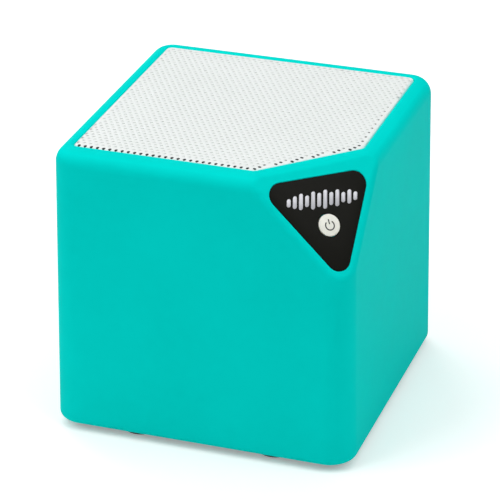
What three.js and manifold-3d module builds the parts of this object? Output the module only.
// Portable wireless speaker: a 60 mm class cube whose front right top corner is cut off by a
// triangular facet that carries a black badge with an indicator lens.
// Millimetres, +Z up, origin on the table plane under the middle of the cube.
// Front is -Y, right is +X, the ports and keys are on the rear face (+Y).
import * as THREE from "three";
import { ConvexGeometry } from "three/addons/geometries/ConvexGeometry.js";
import { mergeVertices } from "three/addons/utils/BufferGeometryUtils.js";
import Module from "manifold-3d";

const wasm = await Module();
wasm.setup();

// ---------------------------------------------------------------- driving dimensions
const TOP = 60; // top plane of the shell
const HALF_X = 29.8; // half width of the shell at its top plane
const HALF_Y = 30.2; // half depth of the shell at its top plane
const DRAFT = 0.0166; // each side leans out by this much per mm going down
const CORNER_TOP = 4.5; // vertical corner radius at the top
const CORNER_BOTTOM = 5.6; // vertical corner radius at z = 0
const EDGE_TOP = 3.3; // radius of the top edges
const EDGE_BOTTOM = 1.1; // radius of the bottom edges
const SKIRT = 1.45; // lower edge of the shell
const WALL = 2;
const FACET_CUT = 20.7; // how far the facet runs along each of the three sharp edges
const FACET_FILLET = 2.2; // radius between the facet and its neighbours

const GRILLE_TOP = TOP - 0.1;
const GRILLE_HALF = 26.5; // half side of the grille recess
const GRILLE_CUT = 36.6; // x - y along the cut corner of the recess
const GRILLE_CORNER = 1.3;
const DECK_TOP = 57.4; // baffle deck that carries the driver
const DECK_UNDER = DECK_TOP - 3;

const FLANGE_HALF = 21; // the driver's square mounting flange
const FLANGE_THICK = 0.8;
const FLANGE_HOLE = 16.8; // driver screw positions, +-x and +-y
const GASKET_THICK = 0.5;
const DRIVER_Z = DECK_UNDER - GASKET_THICK - FLANGE_THICK; // underside of the flange

const BASE_UNDER = 0.6;
const BASE_TOP = 3.3;
const PILLAR_AT = 24.4; // base screws at +-x and +-y
const PCB_UNDER = 10;
const PCB_TOP = PCB_UNDER + 1.2;
const PCB_SCREW = { x: 17.5, y: 3.5 }; // main board screws at +-x

const KEY_Z = 30; // height of the three keys on the rear face
const KEY_PITCH = 11;
const KEY_X = [-KEY_PITCH, 0, KEY_PITCH];
const KEY_BOARD_FRONT = 19.3;
const KEY_BOARD_REAR = 20.9;
const KEY_SCREW = { x: KEY_PITCH / 2, z: 36.5 }; // key board screws at +-x
const MIC_X = 20.5;
const SWITCH = { x: -16.5, z: 13 };
const USB_X = -7.6;
const AUX = { x: 0.9, z: 13.9 };
const CARD_X = 12.6;

const SIDES = [
  ["left", -1],
  ["right", 1],
];

// ---------------------------------------------------------------- materials
const finish = (color, roughness, metalness = 0) =>
  new THREE.MeshStandardMaterial({ color, roughness, metalness });

// Colour, roughness, metalness.
const TEAL = finish(0x04bfb3, 0.42);
const BLACK_PLASTIC = finish(0x1d1d1f, 0.55);
const BADGE_BLACK = finish(0x201f1e, 0.25);
const WHITE_METAL = finish(0xeceeed, 0.45, 0.1);
const CLOTH = finish(0xe4e8e6, 0.95);
const LENS = finish(0xe6e6d8, 0.3);
const RUBBER = finish(0x232325, 0.85);
const STEEL = finish(0xb9bcc0, 0.35, 1);
const DARK_STEEL = finish(0x4b4d50, 0.4, 1);
const FERRITE = finish(0x2f2f33, 0.75, 0.2);
const PAPER = finish(0x2a2a2c, 0.9);
const COPPER = finish(0xb8703a, 0.4, 1);
const SPIDER = finish(0xc98b3c, 0.9);
const BOARD = finish(0x1f6b3c, 0.5);
const CHIP = finish(0x18181a, 0.5);
const FOIL = finish(0xa9abad, 0.35, 0.9);
const FOAM = finish(0x3a3a3c, 0.95);
const CABLE = finish(0xb3202a, 0.5);
const WHITE_PLASTIC = finish(0xe4e4de, 0.5);

// ---------------------------------------------------------------- solids
// A closed three.js geometry as a solid that can be cut and joined.
function solid(geometry, matrix) {
  const bare = geometry.index ? geometry.toNonIndexed() : geometry.clone();
  for (const key of Object.keys(bare.attributes))
    if (key !== "position") bare.deleteAttribute(key);
  if (matrix) bare.applyMatrix4(matrix);
  const merged = mergeVertices(bare, 1e-4);
  const index = merged.index.array;
  const faces = [];
  for (let i = 0; i < index.length; i += 3) {
    const corners = [index[i], index[i + 1], index[i + 2]];
    if (new Set(corners).size === 3) faces.push(...corners);
  }
  const make = () =>
    new wasm.Manifold(
      new wasm.Mesh({
        numProp: 3,
        vertProperties: merged.attributes.position.array,
        triVerts: new Uint32Array(faces),
      }),
    );
  const made = make();
  if (made.volume() >= 0) return made;
  // the faces point inwards: turn them round
  for (let i = 0; i < faces.length; i += 3)
    [faces[i + 1], faces[i + 2]] = [faces[i + 2], faces[i + 1]];
  return make();
}

// Flat shaded three.js geometry of a solid.
function geometryOf(made) {
  const { vertProperties, triVerts, numProp } = made.getMesh();
  const positions = new Float32Array(triVerts.length * 3);
  for (let i = 0; i < triVerts.length; i++)
    for (let k = 0; k < 3; k++)
      positions[3 * i + k] = vertProperties[triVerts[i] * numProp + k];
  const geometry = new THREE.BufferGeometry();
  geometry.setAttribute("position", new THREE.BufferAttribute(positions, 3));
  geometry.computeVertexNormals();
  return geometry;
}

const join = (...parts) => parts.reduce((body, part) => body.add(part));
const cut = (body, ...tools) => tools.reduce((rest, tool) => rest.subtract(tool), body);

// Range of a given half width about a centre. The shapes below take [from, to] ranges.
const around = (centre, half) => [centre - half, centre + half];

// Box over three ranges, whose ends may come in either order.
const box = ([x0, x1], [y0, y1], [z0, z1], matrix) =>
  solid(
    new THREE.BoxGeometry(Math.abs(x1 - x0), Math.abs(y1 - y0), Math.abs(z1 - z0)).translate(
      (x0 + x1) / 2,
      (y0 + y1) / 2,
      (z0 + z1) / 2,
    ),
    matrix,
  );

// Upright cylinder or cone.
const post = (x, y, [z0, z1], radius, segments, topRadius = radius) =>
  solid(
    new THREE.CylinderGeometry(topRadius, radius, z1 - z0, segments)
      .rotateX(Math.PI / 2)
      .translate(x, y, (z0 + z1) / 2),
  );

// Cylinder that lies along Y.
const rod = (x, z, [y0, y1], radius, segments) =>
  solid(
    new THREE.CylinderGeometry(radius, radius, y1 - y0, segments).translate(x, (y0 + y1) / 2, z),
  );

// Outline of a convex polygon with rounded corners, counter-clockwise.
function rounded(corners, radius, steps) {
  const count = corners.length;
  return corners.flatMap(([x, y], i) => {
    const corner = new THREE.Vector2(x, y);
    const toward = (k) => new THREE.Vector2(...corners[k % count]).sub(corner).normalize();
    const back = toward(i + count - 1);
    const ahead = toward(i + 1);
    const half = Math.acos(back.dot(ahead)) / 2;
    const middle = back.clone().add(ahead).normalize();
    const centre = corner.clone().addScaledVector(middle, radius / Math.sin(half));
    const start = corner.clone().addScaledVector(back, radius / Math.tan(half));
    const sweep = Math.PI - 2 * half;
    return Array.from({ length: steps + 1 }, (_, k) =>
      start.clone().rotateAround(centre, (sweep * k) / steps),
    );
  });
}

const roundedRect = (halfX, halfY, radius, steps, x = 0, y = 0) =>
  rounded(
    [
      [x - halfX, y - halfY],
      [x + halfX, y - halfY],
      [x + halfX, y + halfY],
      [x - halfX, y + halfY],
    ],
    radius,
    steps,
  );

const circle = (x, y, radius, steps) =>
  Array.from({ length: steps }, (_, k) => {
    const turn = (2 * Math.PI * k) / steps;
    return new THREE.Vector2(x + radius * Math.cos(turn), y + radius * Math.sin(turn));
  });

// Matrix with the given axis directions.
const frame = (...axes) =>
  new THREE.Matrix4().makeBasis(...axes.map((axis) => new THREE.Vector3(...axis).normalize()));

// Straight prism over an outline in XY.
const prism = (outline, [z0, z1], matrix) =>
  solid(
    new THREE.ExtrudeGeometry(new THREE.Shape(outline), {
      depth: z1 - z0,
      bevelEnabled: false,
      steps: 1,
    }).translate(0, 0, z0),
    matrix,
  );

// Prism along Y over an outline given in XZ. Its frame has local x along -X.
const prismY = (outline, range) =>
  prism(
    outline.map((point) => new THREE.Vector2(-point.x, point.y)).reverse(),
    range,
    frame([-1, 0, 0], [0, 0, 1], [0, 1, 0]),
  );

// Convex hull of level rings, each { outline, z }.
const hull = (rings) =>
  solid(
    new ConvexGeometry(
      rings.flatMap(({ outline, z }) => outline.map(({ x, y }) => new THREE.Vector3(x, y, z))),
    ),
  );

// Everything on the far side of the plane normal . point = distance (unit normal).
function beyond(normal, distance) {
  const reach = 90; // well past the whole speaker
  const up = new THREE.Vector3(0, 0, 1);
  const turn = new THREE.Quaternion().setFromUnitVectors(up, normal);
  const matrix = new THREE.Matrix4()
    .makeRotationFromQuaternion(turn)
    .setPosition(normal.clone().multiplyScalar(distance));
  return box([-reach, reach], [-reach, reach], [0, reach], matrix);
}

// Stations of a quarter round of unit radius: how far each has risen and moved in.
const quarterRound = (steps) =>
  Array.from({ length: steps + 1 }, (_, k) => {
    const turn = (k / steps) * (Math.PI / 2);
    return { rise: Math.sin(turn), inset: 1 - Math.cos(turn) };
  });

// The four places at +-x and +-y.
const fourPlaces = (x, y = x) => [
  { where: "front_left", x: -x, y: -y },
  { where: "front_right", x, y: -y },
  { where: "rear_left", x: -x, y },
  { where: "rear_right", x, y },
];

const speaker = new THREE.Group();
function piece(name, body, material, parent = speaker) {
  const mesh = new THREE.Mesh(geometryOf(body), material);
  mesh.name = name;
  parent.add(mesh);
}

// ---------------------------------------------------------------- shell envelope
// Level section of the drafted shell, moved in by inset.
function ring(z, inset, steps = 4) {
  const drop = TOP - z;
  const corner = CORNER_TOP + ((CORNER_BOTTOM - CORNER_TOP) * drop) / TOP;
  return {
    z,
    outline: roundedRect(
      HALF_X + DRAFT * drop - inset,
      HALF_Y + DRAFT * drop - inset,
      corner - inset,
      steps,
    ),
  };
}

// Unit normals and distances of the facet and of the top, front and right faces beside it.
const FACET_NORMAL = new THREE.Vector3(1, -1, 1).normalize();
const FACET_DISTANCE = (HALF_X + HALF_Y + TOP - FACET_CUT) / Math.sqrt(3);
const NEIGHBOURS = [
  [new THREE.Vector3(0, 0, 1), TOP],
  [new THREE.Vector3(0, -1, DRAFT), HALF_Y + DRAFT * TOP],
  [new THREE.Vector3(1, 0, DRAFT), HALF_X + DRAFT * TOP],
].map(([normal, distance]) => ({
  normal: normal.clone().normalize(),
  distance: distance / normal.length(),
}));

// Cuts for the facet with rounded edges: its plane and tangent planes of each edge fillet.
function facetCuts(offset, fillet, steps) {
  const cuts = [beyond(FACET_NORMAL, FACET_DISTANCE - offset)];
  for (const side of NEIGHBOURS)
    for (let k = 1; k <= steps; k++) {
      const angle = FACET_NORMAL.angleTo(side.normal);
      const turn = (k / (steps + 1)) * angle;
      const facetShare = Math.sin(angle - turn) / Math.sin(angle);
      const sideShare = Math.sin(turn) / Math.sin(angle);
      const normal = FACET_NORMAL.clone()
        .multiplyScalar(facetShare)
        .addScaledVector(side.normal, sideShare);
      const distance =
        facetShare * (FACET_DISTANCE - offset - fillet) +
        sideShare * (side.distance - offset - fillet) +
        fillet;
      cuts.push(beyond(normal, distance));
    }
  return cuts;
}

// ---------------------------------------------------------------- facet frame and outlines
// x along the facet's level edge, y up the facet, z out of it.
const FACET_MATRIX = frame([1, 1, 0], [-1, 1, 2], [1, -1, 1]).setPosition(
  HALF_X - FACET_CUT / 3,
  -HALF_Y + FACET_CUT / 3,
  TOP - FACET_CUT / 3,
);

// Corners [x, y] of the badge on the facet before they are rounded.
const BADGE_TRIANGLE = [
  [-0.01, -15.15],
  [11.34, 5.34],
  [-12.24, 6.16],
];
const BADGE_CORNER = 2.45;
const BADGE_GAP = 0.12; // gap between badge and recess
const LENS_AT = [-0.05, -3.7]; // indicator lens on the facet
const LED_BOARD_TOP = -4.25;

function badgeOutline(inset) {
  // scaling about the incentre moves all three sides in by the same distance
  const [first, second, third] = BADGE_TRIANGLE;
  const length = (from, to) => Math.hypot(from[0] - to[0], from[1] - to[1]);
  const opposite = [length(second, third), length(third, first), length(first, second)];
  const perimeter = opposite[0] + opposite[1] + opposite[2];
  const [x, y] = [0, 1].map((axis) =>
    BADGE_TRIANGLE.reduce((sum, point, i) => sum + (opposite[i] * point[axis]) / perimeter, 0),
  );
  const twiceArea =
    (second[0] - first[0]) * (third[1] - first[1]) -
    (third[0] - first[0]) * (second[1] - first[1]);
  const scale = 1 - (inset * perimeter) / twiceArea;
  return rounded(
    BADGE_TRIANGLE.map((point) => [x + (point[0] - x) * scale, y + (point[1] - y) * scale]),
    BADGE_CORNER - inset,
    4,
  );
}

// Square with its front right corner cut off, moved in from the grille recess by inset.
function grilleOutline(inset, radius = GRILLE_CORNER - inset, steps = 3) {
  const half = GRILLE_HALF - inset;
  const across = GRILLE_CUT - inset * Math.SQRT2;
  return rounded(
    [
      [-half, -half],
      [across - half, -half],
      [half, half - across],
      [half, half],
      [-half, half],
    ],
    radius,
    steps,
  );
}

// ---------------------------------------------------------------- shell
const THROUGH_REAR = [26, 34]; // y range that passes through the rear wall
const REAR_BOSS_END = 29.6; // y inside the rear wall where its bosses end

function hollowShell() {
  const outer = hull([
    ...quarterRound(4).map(({ rise, inset }) =>
      ring(TOP - EDGE_TOP + EDGE_TOP * rise, EDGE_TOP * inset),
    ),
    ...quarterRound(2).map(({ rise, inset }) =>
      ring(SKIRT + EDGE_BOTTOM - EDGE_BOTTOM * rise, EDGE_BOTTOM * inset),
    ),
  ]);
  const cavity = hull([ring(DECK_UNDER, WALL, 3), ring(-3, WALL, 3)]);
  return cut(
    cut(outer, ...facetCuts(0, FACET_FILLET, 3)),
    cut(cavity, ...facetCuts(WALL, 0.8, 1)),
  );
}

// Screw pillars for the base, each tied to both walls by a web.
function addPillars(shell) {
  const top = 15;
  const webHalf = 0.7;
  const webZ = [BASE_TOP, top - 1];
  const wallX = 29.6; // where the webs end inside the walls
  const wallY = 29.8;
  return fourPlaces(PILLAR_AT).reduce(
    (body, { x, y }) =>
      cut(
        join(
          body,
          post(x, y, [BASE_TOP, top], 3.1, 16),
          box([x, Math.sign(x) * wallX], around(y, webHalf), webZ),
          box(around(x, webHalf), [y, Math.sign(y) * wallY], webZ),
        ),
        post(x, y, [BASE_TOP - 1, top - 2], 1.25, 12),
      ),
    shell,
  );
}

// Posts for the key board, the microphone collar and the posts of the indicator board.
function addBosses(shell) {
  let body = shell;
  for (const [, side] of SIDES) {
    const x = side * KEY_SCREW.x;
    body = cut(
      join(body, rod(x, KEY_SCREW.z, [KEY_BOARD_REAR, REAR_BOSS_END], 2, 12)),
      rod(x, KEY_SCREW.z, [20, 26], 0.9, 10),
    );
  }
  body = cut(
    join(body, rod(MIC_X, KEY_Z, [27, REAR_BOSS_END], 3.1, 16)),
    rod(MIC_X, KEY_Z, [26, 28.7], 2.25, 16), // seat
    rod(MIC_X, KEY_Z, [28, 33], 0.55, 10), // hole through the wall
  );
  const [lensX, lensY] = LENS_AT;
  for (const [, side] of SIDES) {
    const outline = circle(lensX + side * 3.4, lensY, 0.9, 8);
    body = join(body, prism(outline, [LED_BOARD_TOP + 0.1, -1.5], FACET_MATRIX));
  }
  return body;
}

// Grille recess with its rounded rim, driver opening and the driver's screw holes.
function cutTop(shell) {
  const above = TOP + 2;
  const lip = 0.5; // radius of the rim
  const rims = quarterRound(3).map(({ rise, inset }) => ({
    z: TOP - lip + lip * rise,
    outline: grilleOutline(-lip * inset),
  }));
  rims.push({ z: above, outline: rims[3].outline });
  return cut(
    shell,
    prism(grilleOutline(0), [DECK_TOP, above]),
    // the rim flares outwards, so it is cut slice by slice
    ...rims.slice(1).map((upper, k) => hull([rims[k], upper])),
    post(0, 0, [DECK_UNDER - 1, DECK_TOP + 1], 17.6, 40),
    ...fourPlaces(FLANGE_HOLE).map(({ x, y }) => post(x, y, [DECK_UNDER - 1, 57], 1.15, 10)),
  );
}

const cutFacet = (shell) =>
  cut(
    shell,
    prism(badgeOutline(-BADGE_GAP), [-1, 3], FACET_MATRIX),
    prism(circle(...LENS_AT, 1.8, 12), [-3, 0], FACET_MATRIX),
  );

// Rear openings: x, z, half width, half height, corner radius, corner steps, inner end in y.
const REAR_OPENINGS = [
  ...KEY_X.map((x) => [x, KEY_Z, 4, 2.3, 2.3, 3, THROUGH_REAR[0]]),
  [SWITCH.x, SWITCH.z, 4.1, 2, 0.8, 2, 29.8], // shallow recess round the switch slot
  [SWITCH.x, SWITCH.z, 2.4, 0.95, 0.3, 1, THROUGH_REAR[0]],
  [USB_X, 12.6, 5.4, 3.1, 1.4, 3, 30.2], // shallow recess round the charging port
  [USB_X, 12.6, 4.05, 1.7, 0.6, 2, THROUGH_REAR[0]],
  [CARD_X, 12.15, 6.1, 0.85, 0.4, 2, THROUGH_REAR[0]],
];
const cutRear = (shell) =>
  cut(
    shell,
    ...REAR_OPENINGS.map(([x, z, halfX, halfZ, corner, steps, inner]) =>
      prismY(roundedRect(halfX, halfZ, corner, steps, x, z), [inner, THROUGH_REAR[1]]),
    ),
    rod(AUX.x, AUX.z, THROUGH_REAR, 3.1, 20),
  );

piece("shell", cutRear(cutFacet(cutTop(addBosses(addPillars(hollowShell()))))), TEAL);

// ---------------------------------------------------------------- grille and cloth
const GRILLE_GAP = 0.12; // gap between recess and grille
const GRILLE_ROLL = 0.4; // rolled edge of the stamped grille
const GRILLE_SHEET = 0.35;
const CLOTH_THICK = 0.15;

// Grille body with a rolled top edge, made smaller on all sides by shrink.
function grilleBody(shrink, foot) {
  const top = GRILLE_TOP - shrink;
  const roll = GRILLE_ROLL - shrink;
  const side = GRILLE_GAP + shrink;
  return hull([
    ...quarterRound(3).map(({ rise, inset }) => ({
      z: top - roll + roll * rise,
      outline: grilleOutline(side + roll * inset),
    })),
    { z: foot, outline: grilleOutline(side) },
  ]);
}
piece("grille", cut(grilleBody(0, DECK_TOP), grilleBody(GRILLE_SHEET, DECK_TOP - 1)), WHITE_METAL);

const clothTop = GRILLE_TOP - GRILLE_SHEET;
piece("grille_cloth", prism(grilleOutline(1.6, 0.8, 2), [clothTop - CLOTH_THICK, clothTop]), CLOTH);

// ---------------------------------------------------------------- badge, lens and indicator
const BADGE_UNDER = -0.85;
const LENS_RADIUS = 2.15;

const facet = new THREE.Group();
facet.applyMatrix4(FACET_MATRIX);
speaker.add(facet);

const badgePlate = cut(
  prism(badgeOutline(0), [BADGE_UNDER, -0.05]),
  prism(circle(...LENS_AT, LENS_RADIUS + 0.15, 24), [-2, 1]),
);
const lens = join(
  prism(circle(...LENS_AT, LENS_RADIUS, 24), [BADGE_UNDER, 0.05]),
  prism(circle(...LENS_AT, 1.5, 12), [-3, BADGE_UNDER]), // stem
);
const ledBoard = prism(
  roundedRect(4.6, 2.6, 0.4, 1, ...LENS_AT),
  [LED_BOARD_TOP - 1, LED_BOARD_TOP],
);
const led = prism(roundedRect(1.5, 1.4, 0.3, 1, ...LENS_AT), [-4.2, -3.3]);
piece("badge_plate", badgePlate, BADGE_BLACK, facet);
piece("led_lens", lens, LENS, facet);
piece("led_board", ledBoard, BOARD, facet);
piece("led", led, WHITE_PLASTIC, facet);

// ---------------------------------------------------------------- base, feet and base screws
const BASE_LIP = 1.95; // lip inset from the shell's drafted side
const BASE_LIP_HEIGHT = 0.7;
const BASE_CHAMFER = 0.25;
const BASE_GAP = 0.25; // between the raised part of the base and the shell wall
const FOOT = { x: 14, y: 24.6, radius: 4.2, top: 1.1, chamfer: 0.3 };

// Lip with a chamfered lower edge, and the raised part that fits inside the walls.
function baseBlank() {
  const { z: lipTop, outline: lip } = ring(BASE_UNDER + BASE_LIP_HEIGHT, BASE_LIP);
  return join(
    hull([
      ring(BASE_UNDER, BASE_LIP + BASE_CHAMFER),
      { outline: lip, z: BASE_UNDER + BASE_CHAMFER },
      { outline: lip, z: lipTop },
    ]),
    prism(ring(BASE_TOP, WALL + BASE_GAP).outline, [BASE_UNDER + 0.5, BASE_TOP]),
  );
}

function basePlate() {
  let base = cut(
    baseBlank(),
    ...fourPlaces(PILLAR_AT).flatMap(({ x, y }) => [
      post(x, y, [0, 1.7], 2.4, 16), // sinks the screw head
      post(x, y, [0, 4], 1.3, 12),
    ]),
    ...fourPlaces(FOOT.x, FOOT.y).map(({ x, y }) =>
      post(x, y, [0, FOOT.top], FOOT.radius + 0.15, 24),
    ),
  );
  const postZ = [BASE_TOP - 0.5, PCB_UNDER];
  for (const [, side] of SIDES) {
    const x = side * PCB_SCREW.x;
    base = cut(
      join(base, post(x, PCB_SCREW.y, postZ, 2.3, 12)),
      post(x, PCB_SCREW.y, [BASE_TOP + 0.5, PCB_UNDER + 1], 1.1, 10),
    );
    // plain post under the rear of the main board
    base = join(base, post(side * 15, 24.5, postZ, 1.6, 10));
  }
  return base;
}
piece("base_plate", basePlate(), BLACK_PLASTIC);

for (const { where, x, y } of fourPlaces(FOOT.x, FOOT.y)) {
  const { radius, top, chamfer } = FOOT;
  const pad = join(
    post(x, y, [chamfer, top], radius, 24),
    post(x, y, [0, chamfer], radius - chamfer, 24, radius),
  );
  piece("foot_" + where, pad, RUBBER);
}

// Cross recessed screw pointing up, head underneath.
function screw(x, y, { under, headHeight, tip, headRadius, shankRadius }) {
  const shoulder = under + headHeight;
  const slotHalf = 0.22;
  const slotReach = headRadius * 0.6;
  const slotZ = [under - 1, under + 0.45];
  return cut(
    join(
      post(x, y, [under, shoulder], headRadius, 16),
      post(x, y, [shoulder, tip], shankRadius, 10),
    ),
    box(around(x, slotHalf), around(y, slotReach), slotZ),
    box(around(x, slotReach), around(y, slotHalf), slotZ),
  );
}

const BASE_SCREW = { under: 0.75, headHeight: 0.95, tip: 9.5, headRadius: 2.1, shankRadius: 0.95 };
for (const { where, x, y } of fourPlaces(PILLAR_AT))
  piece("base_screw_" + where, screw(x, y, BASE_SCREW), DARK_STEEL);

// ---------------------------------------------------------------- driver
// Profiles are [radius, z], with z measured from the underside of the flange.
const COIL_RADIUS = 6.45; // inner radius of the voice coil former
const PLATE_TOP = -9.1; // top plate, under the basket
const MAGNET_TOP = -10.6;
const MAGNET_UNDER = -15.6;
const FLANGE_TOP = DRIVER_Z + FLANGE_THICK;

// Body turned about the driver's axis; the profile starts and ends on the axis.
const turnedSolid = (profile) =>
  solid(
    new THREE.LatheGeometry(
      profile.map((point) => new THREE.Vector2(...point)),
      28,
    )
      .rotateX(Math.PI / 2)
      .translate(0, 0, DRIVER_Z),
  );

// Ring turned about the driver's axis from an outline, which is closed here.
const turned = (outline) => turnedSolid([...outline, outline[0]]);

const tube = (inner, outer, z0, z1) =>
  turned([[inner, z0], [outer, z0], [outer, z1], [inner, z1]]);

// Square layer of the flange with a round opening and its screw holes.
const flangeLayer = (range, opening) =>
  cut(
    prism(roundedRect(FLANGE_HALF, FLANGE_HALF, 6, 3), range),
    post(0, 0, [DRIVER_Z - 1, DRIVER_Z + 3], opening, 28),
    ...fourPlaces(FLANGE_HOLE).map(({ x, y }) =>
      post(x, y, [DRIVER_Z - 2, DRIVER_Z + 4], 1.3, 10),
    ),
  );
piece("speaker_gasket", flangeLayer([FLANGE_TOP, DECK_UNDER], 18.5), FOAM);

const BASKET_OUTLINE = [
  [19.2, 0.8], [18.4, 0.8], [18.4, 0.3], [16.9, 0.3], [16.9, -0.5], [17.6, -1.5],
  [12.7, -6.9], [11.2, -6.9], [11.2, -7.9], [7.6, -7.9], [7.6, PLATE_TOP],
  [13.5, PLATE_TOP], [19.2, -2.1],
];
function basket() {
  const windows = [0, 1, 2, 3].map((k) =>
    box(
      [10, 22],
      [-4.6, 4.6],
      [DRIVER_Z - 7.4, DRIVER_Z - 2.4],
      new THREE.Matrix4().makeRotationZ((k * Math.PI) / 2 + Math.PI / 4),
    ),
  );
  return cut(join(flangeLayer([DRIVER_Z, FLANGE_TOP], 18.8), turned(BASKET_OUTLINE)), ...windows);
}
piece("basket", basket(), DARK_STEEL);

// Half roll between an outer and an inner flat rim.
function surround() {
  const arch = (radius, z) =>
    Array.from({ length: 6 }, (_, k) => {
      const turn = (k / 5) * Math.PI;
      return [15.5 + radius * Math.cos(turn), z + radius * Math.sin(turn)];
    });
  return turned([
    [18.3, 0.3], [18.3, 0.7], [17.1, 0.7],
    ...arch(1.5, 0.5).slice(1, -1),
    [13.9, 0.7], [13.1, 0.7], [13.1, 0.35],
    ...arch(1.1, 0.35).reverse(),
    [16.7, 0.3],
  ]);
}
piece("surround", surround(), RUBBER);

const CONE_OUTLINE = [
  [6.8, -5.7], [6.8, -5.1], [13.2, 0.3], [14.2, 0.3], [14.2, -0.05], [13.5, -0.05],
];
piece("cone", turned(CONE_OUTLINE), PAPER);

const DUST_CAP_PROFILE = [
  [0, -1.9], [3, -2.2], [5.7, -3], [7.9, -4.05], [7.9, -4.1],
  [7.6, -4.3], [5.6, -3.4], [2.9, -2.6], [0, -2.3],
];
piece("dust_cap", turnedSolid(DUST_CAP_PROFILE), PAPER);

// Former with the winding standing out round its lower part.
function voiceCoil() {
  const former = COIL_RADIUS + 0.2;
  const winding = COIL_RADIUS + 0.5;
  return turned([
    [COIL_RADIUS, -12.1], [former, -12.1], [former, -11.8], [winding, -11.8],
    [winding, -7.8], [former, -7.8], [former, -5.3], [COIL_RADIUS, -5.3],
  ]);
}
piece("voice_coil", voiceCoil(), COPPER);

// Corrugated disc round the voice coil.
function spider() {
  const top = -6.6;
  const thick = 0.3;
  const under = -6.9;
  const wave = [0, 1, 2, 3, 4].map((k) => [7.6 + k * 0.85, top + (k % 2 ? 0.35 : 0)]);
  return turned([
    [6.75, under], [6.75, top],
    ...wave,
    [12.5, top], [12.5, under],
    ...wave.map(([radius, z]) => [radius, z - thick]).reverse(),
  ]);
}
piece("spider", spider(), SPIDER);

piece("top_plate", tube(7.25, 14, MAGNET_TOP, PLATE_TOP), STEEL);
piece("magnet", tube(8, 14.5, MAGNET_UNDER, MAGNET_TOP), FERRITE);

const YOKE_PROFILE = [
  [0, -17.6], [13.4, -17.6], [14, -17], [14, MAGNET_UNDER],
  [6.1, MAGNET_UNDER], [6.1, PLATE_TOP], [0, PLATE_TOP],
];
piece("yoke", turnedSolid(YOKE_PROFILE), STEEL);

// Board under the left side of the flange, with two tabs pointing down.
const tabs = SIDES.map(([, side]) =>
  box([-20.45, -19.95], [side * 1.3, side * 2.9], [DRIVER_Z - 6, DRIVER_Z - 4]),
);
const terminalBoard = join(box([-20.8, -19.6], [-4, 4], [DRIVER_Z - 4.4, DRIVER_Z]), ...tabs);
piece("terminal_board", terminalBoard, SPIDER);

const DRIVER_SCREW = {
  under: DRIVER_Z - 1.1,
  headHeight: 1.1,
  tip: 56.5,
  headRadius: 1.8,
  shankRadius: 0.85,
};
for (const { where, x, y } of fourPlaces(FLANGE_HOLE))
  piece("driver_screw_" + where, screw(x, y, DRIVER_SCREW), STEEL);

// ---------------------------------------------------------------- main board
const mainBoard = cut(
  prism(roundedRect(20.6, 13.7, 1, 1, 0, 13.8), [PCB_UNDER, PCB_TOP]),
  ...SIDES.map(([, side]) => post(side * PCB_SCREW.x, PCB_SCREW.y, [9, 12], 1.3, 10)),
);
piece("main_pcb", mainBoard, BOARD);

for (const [where, side] of SIDES) {
  const x = side * PCB_SCREW.x;
  const boardScrew = join(
    post(x, PCB_SCREW.y, [PCB_TOP, PCB_TOP + 1.1], 1.8, 14),
    post(x, PCB_SCREW.y, [5, PCB_TOP], 0.8, 10),
  );
  piece("pcb_screw_" + where, boardScrew, STEEL);
}

// ---------------------------------------------------------------- rear ports
const switchBody = cut(
  box(around(SWITCH.x, 3.9), [23.4, 27.7], [PCB_TOP, 14.8]),
  box(around(SWITCH.x, 2.4), [25.2, 29], around(SWITCH.z, 0.9)),
);
piece("power_switch_body", switchBody, STEEL);

const knobX = SWITCH.x - 1; // the knob stands at the left of its travel
const switchKnob = join(
  box(around(knobX, 0.9), [25.5, 28.3], around(SWITCH.z, 0.6)),
  prismY(roundedRect(1.2, 0.7, 0.25, 1, knobX, SWITCH.z), [28.2, 31.05]),
);
piece("power_switch_knob", switchKnob, BLACK_PLASTIC);

// Sheet metal sleeve open to the rear, with a tongue inside.
function usbConnector() {
  const half = 3.75;
  const top = 14;
  const sheet = 0.35;
  return join(
    cut(
      box(around(USB_X, half), [24.4, 29.6], [PCB_TOP, top]),
      box(around(USB_X, half - sheet), [25.2, 31], [PCB_TOP + sheet, top - sheet]),
    ),
    box(around(USB_X, 2.6), [25, 29], [12.9, 13.3]),
  );
}
piece("usb_connector", usbConnector(), STEEL);

const auxJack = cut(
  join(
    box(around(AUX.x, 3.2), [17.2, 28.6], [PCB_TOP, 16.5]),
    rod(AUX.x, AUX.z, [28.4, 30.4], 2.8, 20),
  ),
  rod(AUX.x, AUX.z, [18, 32], 1.8, 16),
);
piece("aux_jack", auxJack, BLACK_PLASTIC);

const cardSocket = cut(
  box(around(CARD_X, 7), [13.6, 28.4], [PCB_TOP, 13.1]),
  box(around(CARD_X, 5.7), [14.6, 30], [11.7, 12.6]),
);
piece("tf_card_socket", cardSocket, STEEL);

// ---------------------------------------------------------------- board components
piece("bluetooth_chip", box([5.5, 12.5], [4, 11], [PCB_TOP, 12.1]), CHIP);
piece("amplifier_chip", box([-14.6, -9.6], [8.4, 12.4], [PCB_TOP, 12.7]), CHIP);
piece("crystal", prism(roundedRect(1.6, 1.2, 0.3, 1, 15.5, 10.5), [PCB_TOP, 12.1]), STEEL);
[-3.6, 1.6].forEach((x, k) =>
  piece(`capacitor_${k + 1}`, post(x, 7.6, [PCB_TOP, 16.6], 2, 16), FOIL),
);

// ---------------------------------------------------------------- keys and microphone
const keyBoard = cut(
  box([-16.5, 16.5], [KEY_BOARD_FRONT, KEY_BOARD_REAR], [26, 38.6]),
  ...SIDES.map(([, side]) => rod(side * KEY_SCREW.x, KEY_SCREW.z, [18, 22], 0.9, 10)),
);
piece("key_board", keyBoard, BOARD);

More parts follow.
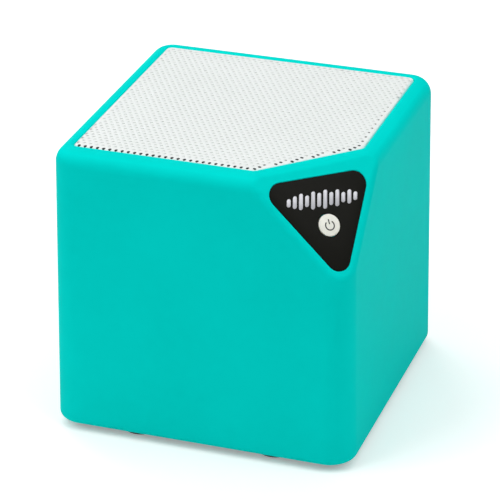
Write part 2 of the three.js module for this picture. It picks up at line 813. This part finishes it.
for (const [where, side] of SIDES) {
  const x = side * KEY_SCREW.x;
  const keyScrew = join(
    rod(x, KEY_SCREW.z, [KEY_BOARD_FRONT - 1, KEY_BOARD_FRONT], 1.6, 12),
    rod(x, KEY_SCREW.z, [KEY_BOARD_FRONT, 25], 0.6, 8),
  );
  piece("key_board_screw_" + where, keyScrew, STEEL);
}

const tactSwitch = (x) =>
  join(
    box(around(x, 3), [KEY_BOARD_REAR, 24.4], around(KEY_Z, 3)),
    rod(x, KEY_Z, [24.3, 25.1], 1.6, 14),
  );

// Plunger, retaining flange behind the wall, and the cap that shows outside.
const button = (x) =>
  join(
    rod(x, KEY_Z, [25.65, 28], 1.3, 12),
    prismY(roundedRect(4.9, 3.2, 1, 2, x, KEY_Z), [27.55, 28.4]),
    prismY(roundedRect(3.85, 2.15, 2.15, 3, x, KEY_Z), [28.3, 31.1]),
  );
["previous", "play", "next"].forEach((label, k) => {
  piece("tact_switch_" + label, tactSwitch(KEY_X[k]), CHIP);
  piece("button_" + label, button(KEY_X[k]), BLACK_PLASTIC);
});
piece("microphone", rod(MIC_X, KEY_Z, [26.9, 28.5], 2, 16), FOIL);

// Centre line [y, z] of the flat ribbon from the key board down to the main board.
const RIBBON_PATH = [
  [18.95, 28.5], [18.95, 24.5], [18.2, 22], [15.6, 17.5], [14.6, 14.5], [14.4, 11.5],
];
function ribbon() {
  const half = 0.15; // half thickness
  const last = RIBBON_PATH.length - 1;
  const edge = (offset) =>
    RIBBON_PATH.map(([y, z], i) => {
      const before = RIBBON_PATH[Math.max(i - 1, 0)];
      const after = RIBBON_PATH[Math.min(i + 1, last)];
      const along = new THREE.Vector2(after[0] - before[0], after[1] - before[1]).normalize();
      return new THREE.Vector2(y - along.y * offset, z + along.x * offset);
    });
  const outline = [...edge(half), ...edge(-half).reverse()];
  return prism(outline, [-9, -3], frame([0, 1, 0], [0, 0, 1], [1, 0, 0]));
}
piece("key_ribbon", ribbon(), WHITE_PLASTIC);

// ---------------------------------------------------------------- battery
const PAD_TOP = BASE_TOP + 0.8;
piece("battery_foam_pad", box([-18, 18], [-24, -4], [BASE_TOP, PAD_TOP]), FOAM);

function batteryCell() {
  const bevel = 1;
  const geometry = new THREE.ExtrudeGeometry(
    new THREE.Shape(roundedRect(19, 11, 1, 2, 0, -14)),
    {
      depth: 4,
      bevelEnabled: true,
      bevelThickness: bevel,
      bevelSize: bevel,
      bevelSegments: 2,
      steps: 1,
    },
  );
  return solid(geometry.translate(0, 0, PAD_TOP + bevel));
}
piece("battery_cell", batteryCell(), FOIL);

// ---------------------------------------------------------------- wiring
// Twin core lead: two conductors moulded side by side, swept along a curve.
function lead(points, steps) {
  const radius = 0.55;
  const offset = 0.48; // of each conductor from the middle
  const right = [0, 1, 2, 3, 4].map((k) => {
    const turn = -Math.PI * 0.4 + (k / 4) * Math.PI * 0.8;
    return new THREE.Vector2(offset + radius * Math.cos(turn), radius * Math.sin(turn));
  });
  const left = right.map(({ x, y }) => new THREE.Vector2(-x, -y));
  const path = points.map((point) => new THREE.Vector3(...point));
  return solid(
    new THREE.ExtrudeGeometry(new THREE.Shape([...right, ...left]), {
      steps,
      bevelEnabled: false,
      extrudePath: new THREE.CatmullRomCurve3(path),
    }),
  );
}

// Name, sweep steps, and the [x, y, z] points each lead passes through.
const LEADS = [
  ["speaker_lead", 14, [
    [-20.2, 0, 46.2], [-21, 1.5, 38], [-21, 4.5, 24], [-18.2, 7.6, 15], [-17.2, 8.2, 12],
  ]],
  ["battery_lead", 12, [
    [-8, -1.3, 6.5], [-8, -1, 9.5], [-8, -0.2, 12.4], [-8, 1.8, 13], [-8, 3.2, 12.1],
  ]],
  ["led_lead", 14, [
    [21.4, -21.6, 43.6], [21.6, -19.5, 37], [21, -10.5, 26], [16.5, -1, 16.5],
    [14.6, 2.6, 12.2],
  ]],
];
for (const [name, steps, points] of LEADS) piece(name, lead(points, steps), CABLE);

export default speaker;
